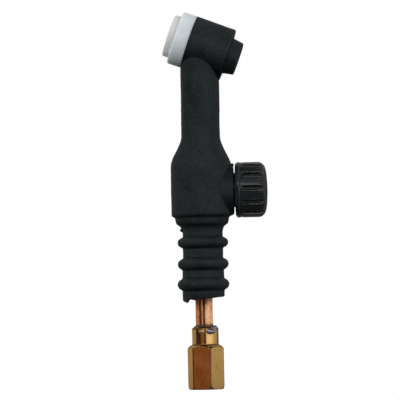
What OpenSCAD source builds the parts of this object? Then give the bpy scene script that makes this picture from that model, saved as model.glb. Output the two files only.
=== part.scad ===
// Air-cooled TIG torch body with a flexible neck and a gas valve.
// Millimetres. +Z runs up the torch, from the cable fitting to the head.
// The origin is the centre of the cable fitting's threaded mouth.
// The valve knob points along +X. The nozzle end of the head points along -X, tilted up.

/* [Cable fitting] */
// Hexagon size across flats
hex_af = 12.7; // [12.3:0.1:13.5]
// Height of the hexagon
hex_h = 17.2; // [15:0.1:19]
// Turn of the hexagon about the torch axis, in degrees
hex_turn = -12; // [-30:1:30]
// Radius of the round shoulder above the hexagon
shoulder_r = 5.15; // [4.9:0.05:5.6]
// Height of the top of the round shoulder
shoulder_top = 24.2; // [23:0.1:25.5]
// Wall radius of the cable thread, which is its minor radius
socket_r = 4.25; // [4:0.05:4.5]
// Depth of the cable thread
socket_d = 12; // [9:0.5:14]

/* [Copper lines] */
// Outer radius of the gas tube and of the power rod
line_r = 1.6; // [1.3:0.05:1.65]
// Bore radius of the gas tube
line_bore_r = 0.95; // [0.6:0.05:1.1]
// Sideways place of the gas tube
gas_x = 1.5; // [1.45:0.05:1.7]
// Sideways place of the power rod
rod_x = -1.9; // [-2.1:0.05:-1.85]

/* [Rubber tail] */
// Height of the tail's lower end
tail_z = 35.8; // [34:0.1:37]
// Radius of the tail between its ribs
tail_r = 7.7; // [7.2:0.1:8]
// Radius over the lands of the ribs, where a tubular handle grips
rib_r = 9.8; // [9.3:0.1:10.2]
// Height of the lowest rib
rib_1_z = 40.9; // [40.5:0.1:41.5]
// Height of the middle rib
rib_2_z = 48.8; // [48:0.1:50]
// Height of the upper rib
rib_3_z = 57.1; // [56:0.1:58]
// Width of each rib's cylindrical land
land_w = 1.0; // [0.6:0.1:1.4]

/* [Valve housing] */
// Radius of the round housing
house_r = 12; // [11.5:0.1:12.5]
// Height of the valve's axis
valve_z = 77.4; // [77.2:0.1:78.2]
// Radius of the valve boss
boss_r = 9.6; // [9:0.1:10]
// Distance of the boss's end face from the torch axis
boss_x = 12.35; // [12.1:0.05:12.5]
// Height where the shoulder starts to narrow to the neck
flare_lo = 84.5; // [84:0.1:86]
// Height where the shoulder has reached the neck's size
flare_hi = 99.5; // [99.2:0.1:100]

/* [Gas valve] */
// Outer radius of the brass valve barrel
barrel_r = 5.2; // [4.8:0.1:5.6]
// Wall radius of the thread in the barrel's mouth
stem_thread_bore_r = 3.1; // [2.9:0.05:3.3]
// Radial clearance of the stem's thread in the barrel
stem_clear = 0.07; // [0.03:0.01:0.1]
// Radius of the seal bore
seal_bore_r = 2.4; // [2.35:0.01:2.45]

/* [Valve knob] */
// Outer radius of the knob
knob_r = 10.9; // [10.2:0.1:11.2]
// Inner face of the knob's rim, measured from the torch axis
knob_x0 = 12.95; // [12.8:0.05:13.4]
// Outer end of the knob, measured from the torch axis
knob_x1 = 25.5; // [25:0.1:26.5]
// Number of finger grooves
groove_n = 12; // [8:1:16]
// Depth of a finger groove
groove_d = 0.75; // [0.4:0.05:1]

/* [Flexible neck] */
// Half the width of the neck, in the plane in which it bends
neck_w = 7.2; // [6.8:0.1:7.6]
// Half the depth of the neck, across that plane
neck_d = 9.0; // [8.4:0.1:9.4]
// Height of the lowest bending line
bend_z = 99; // [98.9:0.1:99.2]
// Distance from one bending line to the next
bend_pitch = 3.5; // [3.4:0.05:3.6]
// Slope of the facing surfaces at each bending line, in degrees
bend_slope = 7.7; // [7.6:0.05:8.2]
// Gap at each bending line, on each side of it
bend_gap = 0.05; // [0.04:0.01:0.1]
// Outer radius of the flexible copper conductor
core_r = 3.6; // [3.3:0.1:4]
// Bore radius of the flexible conductor, for the gas
core_bore_r = 1.8; // [1.4:0.1:2.2]

/* [Torch head] */
// Height at which the head's axis crosses the neck's axis
head_z = 134.2; // [133:0.1:135]
// Tilt of the nozzle end above level, in degrees
head_tilt = 20; // [18:1:22]
// Outer radius of the head
head_r = 10.5; // [10.2:0.1:10.8]
// Rear face of the head, behind the neck's axis
head_back = -11.8; // [-12.2:0.1:-11.5]
// Front face of the head's rubber, before the neck's axis
head_front = 4.1; // [3.9:0.1:4.3]
// End of the rear collar
collar_end = -16.35; // [-17:0.05:-16.1]
// Wall radius of the collet body thread and of the back cap thread
head_thread_r = 4.35; // [4.1:0.05:4.6]
// Wall radius of the passage between the two threads
head_mid_r = 3.4; // [3:0.1:3.8]

/* [Cup gasket] */
// Front of the gasket's thick ring
gasket_step = 9.5; // [9.2:0.1:10]
// Front of the gasket's thin rim
gasket_front = 12.3; // [12:0.1:12.8]
// Outer radius of the thin rim
gasket_rim_r = 8.4; // [8.2:0.1:8.8]
// Wall radius of the recess in which the nozzle seats
gasket_recess_r = 7.4; // [7.1:0.1:7.6]
// Bottom of that recess
gasket_floor = 8.8; // [8.7:0.1:9.1]

/* [Hidden] */
$fn = 96;
e = 0.5; // how far a cut runs past a face

hex_c = hex_af / sqrt(3);      // radius over the hexagon's corners
line_lo = 19.5;                // where the two lines are seated in the fitting
line_hi = 73;                  // where the gas tube is seated in the valve body
rod_hi = 72.6;                 // where the power rod is seated in the valve body
stub_r = 4.3;                  // upright part of the valve body
stub_lo = 70;
stub_hi = 88.5;
barrel_x0 = -5.5;
barrel_x1 = 11.2;
hub_r = 6.7;                   // the knob's hub, in the recess of the boss
recess_r = 7.2;
hub_x = 11.5;
shank_r = 2.4;                 // the stem's shank, in the knob
shank_end = 22;
bend_n = 6;                    // bending lines
bend_top = bend_z + bend_pitch * (bend_n - 1);
slope = tan(bend_slope);
block_r = 6.2;                 // brass head block
nose_r = 5.55;
nose_end = 8.6;
rear_r = 5.6;
rear_end = -15.8;
boss_neck_r = 4.6;             // the block's boss down into the neck
boss_neck_z = 123;
ferrule_top = 127.4;
ferrule_collar_r = 4.2;

rubber_c = [0.13, 0.14, 0.145];
brass_c = [0.72, 0.57, 0.32];
copper_c = [0.76, 0.44, 0.28];

// Half the width of the shoulder, or half its depth, at height z
function flare(z, top) = z <= flare_lo ? house_r : z >= flare_hi ? top
  : top + (house_r - top) * (1 + cos(180 * (z - flare_lo) / (flare_hi - flare_lo))) / 2;
flare_zs = [for (i = [0 : 14]) flare_lo + (flare_hi - flare_lo) * i / 14];

// One rib of the tail, as points [radius, height], with a cylindrical land on its crest
function rib(z) = [
  [tail_r, z - 2.3], [tail_r + 0.35, z - 1.75], [rib_r - 0.35, z - land_w / 2 - 0.4],
  [rib_r, z - land_w / 2], [rib_r, z + land_w / 2],
  [rib_r - 0.35, z + land_w / 2 + 0.4], [tail_r + 0.35, z + 1.75], [tail_r, z + 2.3]
];

// Places its children in the head's frame: local +Z runs to the nozzle end
module in_head() translate([0, 0, head_z]) rotate([0, head_tilt - 90, 0]) children();

// Places its children in the valve's frame: local +Z runs out along +X
module in_valve() translate([0, 0, valve_z]) rotate([0, 90, 0]) children();

// The space over a bending line: the part below it ends in a ridge
module over_line(z) rotate([90, 0, 0]) linear_extrude(height = 80, center = true)
  polygon([[0, z - bend_gap], [40, z - bend_gap - 40 * slope], [40, z + 80], [-40, z + 80], [-40, z - bend_gap - 40 * slope]]);

// The space under a bending line
module under_line(z) rotate([90, 0, 0]) linear_extrude(height = 80, center = true)
  polygon([[0, z + bend_gap], [-40, z + bend_gap + 40 * slope], [-40, z - 80], [40, z - 80], [40, z + bend_gap + 40 * slope]]);

// Section of the neck: flat at its sides, round at its front and back
module neck_section() intersection() {
  circle(r = neck_d);
  square([2 * neck_w, 3 * neck_d], center = true);
}

module line_at(x, r, z0, z1) translate([x, 0, z0]) cylinder(r = r, h = z1 - z0);

// ---- cable fitting: hexagon, round shoulder, threaded socket, seats for both lines
module cable_fitting() color(brass_c) difference() {
  union() {
    intersection() {
      rotate([0, 0, hex_turn]) cylinder(r = hex_c, h = hex_h, $fn = 6);
      rotate_extrude() polygon([
        [0, 0], [hex_af / 2 - 0.6, 0], [hex_af / 2 - 0.1, 0.35], [hex_c - 0.35, 1.2], [hex_c + 0.02, 2.4],
        [hex_c + 0.02, hex_h - 1.4], [hex_af / 2 - 0.55, hex_h], [0, hex_h]
      ]);
    }
    rotate_extrude() polygon([
      [0, hex_h - 2], [shoulder_r, hex_h - 2], [shoulder_r, shoulder_top - 0.45],
      [shoulder_r - 0.45, shoulder_top], [0, shoulder_top]
    ]);
  }
  translate([0, 0, -e]) cylinder(r = socket_r, h = socket_d + e);
  line_at(gas_x, line_bore_r, socket_d - e, line_lo + e);
  line_at(gas_x, line_r, line_lo, shoulder_top + e);
  line_at(rod_x, line_r, line_lo, shoulder_top + e);
}

module gas_tube() color(copper_c) difference() {
  line_at(gas_x, line_r, line_lo, line_hi);
  line_at(gas_x, line_bore_r, line_lo - e, line_hi + e);
}

module power_rod() color(copper_c) line_at(rod_x, line_r, line_lo, rod_hi);

// ---- silver solder round the feet of both lines, with a bead that has run over the rim
module solder_fillet() color([0.62, 0.64, 0.66]) difference() {
  union() {
    for (x = [gas_x, rod_x]) translate([x, 0, shoulder_top]) cylinder(r1 = line_r + 0.7, r2 = line_r + 0.12, h = 0.8);
    translate([gas_x + 0.75, -4.2, shoulder_top]) rotate([-90, 0, 0]) cylinder(r = 0.75, h = 3.2);
    translate([gas_x + 0.75, -4.35, shoulder_top - 0.15]) sphere(r = 1.35);
  }
  translate([0, 0, shoulder_top - 4]) cylinder(r = shoulder_r, h = 4);
  line_at(gas_x, line_r, line_lo, line_hi);
  line_at(rod_x, line_r, line_lo, line_hi);
}

// ---- rubber housing of the valve, with the ribbed tail and the shoulder
module housing_turned() rotate_extrude() polygon(concat(
  [[0, tail_z], [tail_r - 0.2, tail_z], [tail_r + 0.2, tail_z + 0.4], [tail_r + 0.2, tail_z + 1.6], [tail_r, rib_1_z - 2.6]],
  rib(rib_1_z), rib(rib_2_z), rib(rib_3_z),
  [[tail_r, 62.4], [tail_r + 0.25, 63.3], [8.75, 64.1], [9.8, 65], [10.3, 66], [10.4, 67.5], [10.7, 67.8],
   [house_r - 0.35, 68.4], [house_r, 69.2], [house_r, flare_lo + 0.001], [0, flare_lo + 0.001]]
));

module housing_shoulder() intersection() {
  rotate_extrude() polygon(concat([[0, flare_lo]], [for (z = flare_zs) [flare(z, neck_d), z]], [[0, flare_hi]]));
  rotate([90, 0, 0]) linear_extrude(height = 40, center = true) polygon(concat(
    [[house_r + 2, flare_lo - 1]], [for (i = [1 : 14]) [flare(flare_zs[i], neck_w), flare_zs[i]]],
    [for (i = [14 : -1 : 1]) [-flare(flare_zs[i], neck_w), flare_zs[i]]], [[-house_r - 2, flare_lo - 1]]));
}

module valve_housing() color(rubber_c) difference() {
  union() {
    housing_turned();
    housing_shoulder();
    in_valve() cylinder(r = boss_r, h = boss_x);
  }
  over_line(bend_z);
  line_at(gas_x, line_r, tail_z - e, line_hi);
  line_at(rod_x, line_r, tail_z - e, rod_hi);
  valve_body_shape();
  in_valve() translate([0, 0, barrel_x1]) cylinder(r = recess_r, h = 5);
  line_at(0, ferrule_collar_r, stub_hi - e, 90.3);
  line_at(0, core_r, 90, bend_z + 1);
}

// ---- brass valve body: upright stub on the lines, barrel with the stem's thread, seal bore and seat
module valve_body_shape() {
  line_at(0, stub_r, stub_lo, stub_hi);
  in_valve() translate([0, 0, barrel_x0]) cylinder(r = barrel_r, h = barrel_x1 - barrel_x0);
}

module valve_body() color(brass_c) difference() {
  valve_body_shape();
  in_valve() rotate_extrude() polygon([
    [0, -2.6], [0.9, -2.6], [0.9, -1], [seal_bore_r, 0.4], [seal_bore_r, 6],
    [stem_thread_bore_r, 6], [stem_thread_bore_r, barrel_x1 + 1], [0, barrel_x1 + 1]
  ]);
  line_at(-2.6, 1.1, valve_z, 85);
  line_at(0, 3, 84.5, stub_hi + e);
  line_at(gas_x, 0.7, line_hi - e, valve_z - 0.5);
  line_at(gas_x, line_r, stub_lo - e, line_hi);
  line_at(rod_x, line_r, stub_lo - e, rod_hi);
}

// ---- ferrule between the valve body and the flexible conductor
module lower_ferrule() color(copper_c) difference() {
  union() {
    line_at(0, 3, 85.5, stub_hi + e);
    line_at(0, ferrule_collar_r, stub_hi, 90.3);
    line_at(0, core_r, 90, bend_z + 1);
  }
  over_line(bend_z);
  line_at(0, core_bore_r, 80, bend_z + 2);
}

// ---- valve stem with its needle tip, seal groove and thread
module valve_stem() color(brass_c) in_valve() rotate_extrude() polygon([
  [0, -1.9], [0.6, -1.9], [0.7, -1.7], [0.7, -0.95], [0.88, -0.95], [2.05, 0.17], [2.1, 2.4],
  [seal_bore_r - 0.07, 2.4], [seal_bore_r - 0.07, 2.9], [1.45, 2.9], [1.45, 4.1], [seal_bore_r - 0.07, 4.1],
  [seal_bore_r - 0.07, 4.7], [2.0, 4.7], [2.0, 6.3], [stem_thread_bore_r - stem_clear, 6.7],
  [stem_thread_bore_r - stem_clear, 10.9], [shank_r, 11.2], [shank_r, shank_end], [0, shank_end]
]);

module stem_o_ring() color([0.1, 0.1, 0.1]) in_valve() translate([0, 0, 3.5])
  rotate_extrude() translate([(1.48 + seal_bore_r - 0.02) / 2, 0]) circle(r = (seal_bore_r - 0.02 - 1.48) / 2, $fn = 32);

// ---- fluted knob with its rim and its hub
module valve_knob() color([0.11, 0.115, 0.12]) in_valve() difference() {
  rotate_extrude() polygon([
    [shank_r, hub_x], [hub_r, hub_x], [hub_r, knob_x0], [knob_r - 0.7, knob_x0], [knob_r, knob_x0 + 0.6],
    [knob_r, knob_x0 + 2.0], [knob_r - 0.15, knob_x0 + 2.4], [knob_r - 0.15, knob_x1 - 3.4],
    [knob_r - 0.55, knob_x1 - 2.2], [knob_r - 1.5, knob_x1 - 1.05], [knob_r - 2.8, knob_x1 - 0.4],
    [knob_r - 4.6, knob_x1 - 0.05], [0, knob_x1], [0, shank_end], [shank_r, shank_end]
  ]);
  for (i = [0 : groove_n - 1]) rotate([0, 0, i * 360 / groove_n - 6])
    translate([0, -(knob_r - 0.15 - groove_d + 1.1), knob_x0 + 2.5]) cylinder(r = 1.1, h = 20, $fn = 32);
}

// ---- the flexible neck between two bending lines: rubber sleeve and conductor link
module neck_sleeve(i) color(rubber_c) difference() {
  translate([0, 0, bend_z + bend_pitch * (i - 1)]) linear_extrude(height = bend_pitch) neck_section();
  under_line(bend_z + bend_pitch * (i - 1));
  over_line(bend_z + bend_pitch * i);
  line_at(0, core_r, bend_z - 5, bend_top + 5);
}

module flex_link(i) color(copper_c) difference() {
  translate([0, 0, bend_z + bend_pitch * (i - 1)]) rotate_extrude() polygon([
    [core_bore_r, 0], [core_r, 0], [core_r, 0.38 * bend_pitch], [core_r - 0.5, 0.44 * bend_pitch],
    [core_r - 0.5, 0.56 * bend_pitch], [core_r, 0.62 * bend_pitch], [core_r, bend_pitch], [core_bore_r, bend_pitch]
  ]);
  under_line(bend_z + bend_pitch * (i - 1));
  over_line(bend_z + bend_pitch * i);
}
module neck_sleeve_1() neck_sleeve(1);
module neck_sleeve_2() neck_sleeve(2);
module neck_sleeve_3() neck_sleeve(3);
module neck_sleeve_4() neck_sleeve(4);
module neck_sleeve_5() neck_sleeve(5);
module flex_link_1() flex_link(1);
module flex_link_2() flex_link(2);
module flex_link_3() flex_link(3);
module flex_link_4() flex_link(4);
module flex_link_5() flex_link(5);

// ---- ferrule between the flexible conductor and the head
module upper_ferrule_shape() {
  line_at(0, core_r, bend_top - 1, ferrule_top);
  line_at(0, ferrule_collar_r, boss_neck_z - 1.8, boss_neck_z);
}

module upper_ferrule() color(copper_c) difference() {
  upper_ferrule_shape();
  under_line(bend_top);
  line_at(0, core_bore_r, bend_top - 2, ferrule_top + e);
}

// ---- brass head block: boss on the neck, collet body thread in front, back cap thread behind
module head_block_shape() {
  in_head() {
    translate([0, 0, rear_end]) cylinder(r = rear_r, h = 10);
    translate([0, 0, -11]) cylinder(r = block_r, h = 11 + head_front);
    cylinder(r = nose_r, h = nose_end);
  }
  line_at(0, boss_neck_r, boss_neck_z, head_z - 2);
}

module head_block() color(brass_c) difference() {
  head_block_shape();
  in_head() {
    translate([0, 0, rear_end - e]) cylinder(r = head_thread_r, h = -5 - rear_end + e);
    translate([0, 0, -6]) cylinder(r = head_mid_r, h = 6);
    translate([0, 0, -1]) cylinder(r = head_thread_r, h = nose_end + 1 + e);
  }
  line_at(0, core_r, boss_neck_z - e, ferrule_top);
  line_at(0, 1.5, ferrule_top - e, head_z);
}

// ---- rubber cover of the head, with its rear collar and the stub of the neck
module head_cover() color(rubber_c) difference() {
  union() {
    in_head() rotate_extrude() polygon([
      [0, collar_end], [5.85, collar_end], [6.2, collar_end + 0.35], [6.95, head_back],
      [head_r - 0.9, head_back], [head_r - 0.3, head_back + 0.3], [head_r, head_back + 0.9],
      [head_r, head_front], [0, head_front]
    ]);
    intersection() {
      translate([0, 0, bend_top]) linear_extrude(height = head_z - 4 - bend_top) neck_section();
      in_head() translate([-30, -30, head_front - 60]) cube(60);
    }
  }
  under_line(bend_top);
  head_block_shape();
  upper_ferrule_shape();
  in_head() translate([0, 0, collar_end - e]) cylinder(r = 5, h = 3);
}

// ---- white gasket that insulates the nozzle from the head
module cup_gasket() color([0.9, 0.92, 0.94]) in_head() rotate_extrude() polygon([
  [nose_r + 0.05, head_front], [head_r, head_front], [head_r, gasket_step - 0.5], [head_r - 0.5, gasket_step],
  [gasket_rim_r, gasket_step], [gasket_rim_r, gasket_front - 0.3], [gasket_rim_r - 0.3, gasket_front],
  [gasket_recess_r, gasket_front], [gasket_recess_r, gasket_floor], [nose_r + 0.05, gasket_floor]
]);

cable_fitting();
gas_tube();
power_rod();
solder_fillet();
valve_housing();
valve_body();
lower_ferrule();
stem_o_ring();
valve_stem();
valve_knob();
neck_sleeve_1();
neck_sleeve_2();
neck_sleeve_3();
neck_sleeve_4();
neck_sleeve_5();
flex_link_1();
flex_link_2();
flex_link_3();
flex_link_4();
flex_link_5();
upper_ferrule();
head_block();
head_cover();
cup_gasket();
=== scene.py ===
"""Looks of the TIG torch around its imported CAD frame. Lengths are worked out in millimetres and stored in metres."""

import math

import bmesh
import bpy
import numpy as np
from mathutils import Matrix, Vector


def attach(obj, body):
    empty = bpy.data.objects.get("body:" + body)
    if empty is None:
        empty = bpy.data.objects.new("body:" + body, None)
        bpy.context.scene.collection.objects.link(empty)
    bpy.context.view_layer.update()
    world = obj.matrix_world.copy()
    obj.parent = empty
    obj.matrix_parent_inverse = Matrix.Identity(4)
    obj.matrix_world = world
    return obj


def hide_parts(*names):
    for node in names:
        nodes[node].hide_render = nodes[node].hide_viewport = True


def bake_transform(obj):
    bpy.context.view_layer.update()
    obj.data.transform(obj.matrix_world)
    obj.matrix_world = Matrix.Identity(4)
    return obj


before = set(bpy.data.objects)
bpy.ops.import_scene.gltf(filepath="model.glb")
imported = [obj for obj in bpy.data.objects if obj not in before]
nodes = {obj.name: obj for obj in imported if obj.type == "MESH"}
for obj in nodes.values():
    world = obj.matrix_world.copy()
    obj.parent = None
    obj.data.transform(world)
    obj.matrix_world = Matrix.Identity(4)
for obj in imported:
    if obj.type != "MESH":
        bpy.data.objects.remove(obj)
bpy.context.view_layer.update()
MM = 0.001
TAU = 2 * math.pi

# ---------------------------------------------------------------- small helpers

TILT = math.radians(20)
HEAD_Z = 134.2
VALVE_Z = 77.4
U = np.array([-math.cos(TILT), 0.0, math.sin(TILT)])  # runs to the nozzle end of the head


def in_head(p):
    """Points [x, y, s] of the head's own frame, in the row frame."""
    b = TILT - math.pi / 2
    c, s = math.cos(b), math.sin(b)
    x, y, z = p[..., 0], p[..., 1], p[..., 2]
    return np.stack([x * c + z * s, y, -x * s + z * c + HEAD_Z], -1)


def in_valve(p):
    """Points [x, y, s] of the valve's own frame, s running out along +X, in the row frame."""
    return np.stack([p[..., 2], p[..., 1], VALVE_Z - p[..., 0]], -1)


def upright(p):
    return p


def waves(p, scale, seed, n=7):
    """Smooth noise in about -1..1, from a few sine waves."""
    rng = np.random.default_rng(seed)
    out = 0
    for _ in range(n):
        d = rng.normal(size=3)
        d *= scale * rng.uniform(0.6, 1.5) / np.linalg.norm(d)
        out = out + np.sin(p[..., 0] * d[0] + p[..., 1] * d[1] + p[..., 2] * d[2] + rng.uniform(0, TAU))
    return out / (0.62 * n)


def smin(a, b, k):
    h = np.clip(0.5 + 0.5 * (b - a) / k, 0, 1)
    return b + (a - b) * h - k * h * (1 - h)


def smax(a, b, k):
    return -smin(-a, -b, k)


def rounded(a, b, r):
    """The corner where a < 0 meets b < 0, rounded to radius r."""
    qa, qb = a + r, b + r
    return np.minimum(np.maximum(qa, qb), 0) + np.hypot(np.maximum(qa, 0), np.maximum(qb, 0)) - r


def smooth(t):
    t = np.clip(t, 0, 1)
    return t * t * (3 - 2 * t)


def pit(f, p, eps=0.02):
    """Gradient of f at p."""
    g = np.empty_like(p)
    for a in range(3):
        d = np.zeros(3)
        d[a] = eps
        g[:, a] = (f(p + d) - f(p - d)) / (2 * eps)
    return g


def surface_of(f, lo, hi, h, rounds=2):
    """Quads on the zero surface of f, whose inside is negative: surface nets on a grid of pitch h, then moved onto the surface."""
    lo, hi = np.array(lo, float), np.array(hi, float)
    blocks = np.ceil((hi - lo) / (4 * h)).astype(int)
    n = blocks * 4 + 1
    bi = np.stack(np.meshgrid(*[np.arange(b) for b in blocks], indexing="ij"), -1).reshape(-1, 3)
    mid = f(lo + (bi * 4 + 2) * h)
    F = np.where(np.repeat(np.repeat(np.repeat(mid.reshape(blocks), 4, 0), 4, 1), 4, 2) < 0, -9.0, 9.0)
    F = np.pad(F, ((0, 1),) * 3, mode="edge").astype(np.float32)
    near = bi[np.abs(mid) < 4 * h * 1.35 + 0.5]
    off = np.stack(np.meshgrid(*[np.arange(5)] * 3, indexing="ij"), -1).reshape(-1, 3)
    for part in np.array_split(near, max(1, len(near) // 3000)):
        idx = (part[:, None, :] * 4 + off[None]).reshape(-1, 3)
        F[idx[:, 0], idx[:, 1], idx[:, 2]] = f(lo + idx * h)
    S = F < 0
    count = np.zeros(n - 1, np.uint8)
    for i in (0, 1):
        for j in (0, 1):
            for k in (0, 1):
                count += S[i : n[0] - 1 + i, j : n[1] - 1 + j, k : n[2] - 1 + k]
    mixed = (count > 0) & (count < 8)
    cells = np.argwhere(mixed)
    index = np.full(mixed.shape, -1)
    index[mixed] = np.arange(len(cells))
    pos, num = np.zeros((len(cells), 3)), np.zeros(len(cells))
    corners = [np.array([i, j, k]) for i in (0, 1) for j in (0, 1) for k in (0, 1)]
    value = {tuple(c): F[tuple((cells + c).T)].astype(float) for c in corners}
    for a in corners:
        for axis in range(3):
            if a[axis]:
                continue
            b = a.copy()
            b[axis] = 1
            fa, fb = value[tuple(a)], value[tuple(b)]
            m = (fa < 0) != (fb < 0)
            t = fa[m] / (fa[m] - fb[m])
            pos[m] += a + t[:, None] * (b - a)
            num[m] += 1
    V = lo + (cells + pos / num[:, None]) * h
    quads = []
    for axis in range(3):
        b, c = (axis + 1) % 3, (axis + 2) % 3
        a0 = [slice(None)] * 3
        a1 = [slice(None)] * 3
        a0[axis], a1[axis] = slice(0, -1), slice(1, None)
        s0, s1 = S[tuple(a0)], S[tuple(a1)]
        e = np.argwhere(s0 != s1)
        e = e[(e[:, b] > 0) & (e[:, c] > 0) & (e[:, b] < n[b] - 1) & (e[:, c] < n[c] - 1)]
        out = s0[tuple(e.T)]
        ring = []
        for db, dc in ((-1, -1), (0, -1), (0, 0), (-1, 0)):
            cell = e.copy()
            cell[:, b] += db
            cell[:, c] += dc
            ring.append(index[tuple(cell.T)])
        ring = np.stack(ring, 1)
        ring[~out] = ring[~out][:, ::-1]
        quads.append(ring)
    Q = np.concatenate(quads)
    Q = Q[(Q >= 0).all(1)]
    edges = np.concatenate([Q[:, [i, (i + 1) % 4]] for i in range(4)])
    for r in range(rounds):
        if r:  # evens out the quads before they are moved onto the surface again
            total, times = np.zeros_like(V), np.zeros(len(V))
            for i in range(3):
                total[:, i] = np.bincount(edges[:, 0], V[edges[:, 1], i], len(V)) + np.bincount(edges[:, 1], V[edges[:, 0], i], len(V))
            times = np.bincount(edges.ravel(), minlength=len(V))
            V = V + 0.5 * (total / np.maximum(times, 1)[:, None] - V)
        for _ in range(3):
            g = pit(f, V)
            step = f(V)[:, None] * g / np.maximum((g * g).sum(1), 0.05)[:, None]
            far = np.linalg.norm(step, axis=1)
            V = V - step * np.minimum(1, 0.5 * h / np.maximum(far, 1e-9))[:, None]
    return V, Q


def unit(g):
    return g / np.maximum(np.linalg.norm(g, axis=1), 1e-9)[:, None]


def wear_and_light_of(me, normal=None):
    """Stores how convex the mesh is at each vertex, for the materials: rubbed edges, painted highlights and painted
    dark reflections on convex edges, and painted shade in the hollows of the rubber and the knob. 0.5 is flat.
    """
    n = len(me.vertices)
    co, no, ed = np.zeros(n * 3), np.zeros(n * 3), np.zeros(len(me.edges) * 2, int)
    me.vertices.foreach_get("co", co)
    me.vertex_normals.foreach_get("vector", no)
    if normal is not None:
        no = normal.ravel()
    me.edges.foreach_get("vertices", ed)
    co, no, ed = co.reshape(-1, 3), no.reshape(-1, 3), ed.reshape(-1, 2)
    d = co[ed[:, 1]] - co[ed[:, 0]]
    k = ((no[ed[:, 1]] - no[ed[:, 0]]) * d).sum(1) / np.maximum((d * d).sum(1), 1e-12)
    total = np.bincount(ed[:, 0], k, n) + np.bincount(ed[:, 1], k, n)
    k = total / np.maximum(np.bincount(ed.ravel(), minlength=n), 1) * MM  # per millimetre
    a = me.attributes.new("wear_and_light", "FLOAT", "POINT")
    a.data.foreach_set("value", np.clip(0.5 + 0.25 * k, 0, 1).astype(np.float32))


def make(name, me, materials):
    o = bpy.data.objects.new(name, me)
    bpy.context.scene.collection.objects.link(o)
    for m in materials if isinstance(materials, (list, tuple)) else [materials]:
        me.materials.append(m)
    return o


def loft(name, sheets, material, sharp=34, paint=None):
    """One mesh from sheets of rings: each sheet is an array of rings of points, in millimetres, closed round, and may close end to start."""
    bm = bmesh.new()
    for rings, closed in sheets:
        rows = []
        for ring in rings:
            rows.append([bm.verts.new(p * MM) for p in ring])
        n = len(rows[0])
        for i in range(len(rows) if closed else len(rows) - 1):
            a, b = rows[i], rows[(i + 1) % len(rows)]
            for j in range(n):
                k = (j + 1) % n
                bm.faces.new((a[j], a[k], b[k], b[j]))
    bmesh.ops.remove_doubles(bm, verts=bm.verts, dist=2e-6)
    bad = [f for f in bm.faces if f.calc_area() < 1e-14]
    if bad:
        bmesh.ops.dissolve_degenerate(bm, dist=1e-6, edges=bm.edges)
    bmesh.ops.recalc_face_normals(bm, faces=bm.faces)
    me = bpy.data.meshes.new(name)
    bm.to_mesh(me)
    bm.free()
    me.shade_smooth()
    me.set_sharp_from_angle(angle=math.radians(sharp))
    wear_and_light_of(me)
    return make(name, me, material)


def turned(profile, angles, place, radius=None):
    """Rings about an axis: profile is [[s, r], ...]. radius(s, r, angles) may change the radius with the angle."""
    rings = []
    for i, (s, r) in enumerate(profile):
        rr = r * np.ones_like(angles)
        if radius is not None and r > 0:
            rr = radius(i, s, rr, angles)
        rings.append(place(np.stack([rr * np.cos(angles), rr * np.sin(angles), s * np.ones_like(angles)], -1)))
    return np.array(rings)


def dense(points, step, corner=0.0):
    """A polyline resampled so that no step is longer than step. Corners are cut by corner, with an arc of 3 points."""
    p = [np.array(q, float) for q in points]
    if corner:
        out = [p[0]]
        for a, b, c in zip(p[:-2], p[1:-1], p[2:]):
            la, lc = np.linalg.norm(a - b), np.linalg.norm(c - b)
            turn = np.dot((b - a) / max(la, 1e-9), (c - b) / max(lc, 1e-9))
            k = min(corner, 0.4 * la, 0.4 * lc)
            if turn > 0.97 or k < 1e-3:
                out.append(b)
                continue
            s, e = b + (a - b) / la * k, b + (c - b) / lc * k
            for t in (0, 0.25, 0.5, 0.75, 1):
                out.append((1 - t) ** 2 * s + 2 * t * (1 - t) * b + t * t * e)
        p = out + [p[-1]]
    out = [p[0]]
    for a, b in zip(p[:-1], p[1:]):
        k = max(1, int(math.ceil(np.linalg.norm(b - a) / step)))
        out += [a + (b - a) * i / k for i in range(1, k + 1)]
    return out


def around(n):
    return np.arange(n) * TAU / n


def thread(s, angles, s0, s1, minor, depth, pitch, hand=1):
    """Radius of an internal thread's wall: crests at the minor radius, and roots depth further out. It runs out at both ends."""
    t = (s / pitch - hand * angles / TAU) % 1
    v = np.clip(1.18 - 2.36 * np.abs(2 * t - 1), 0, 1)
    return minor + depth * v * smooth((s - s0) / (0.7 * pitch)) * smooth((s1 - s) / (0.7 * pitch))


# ---------------------------------------------------------------- materials


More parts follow.
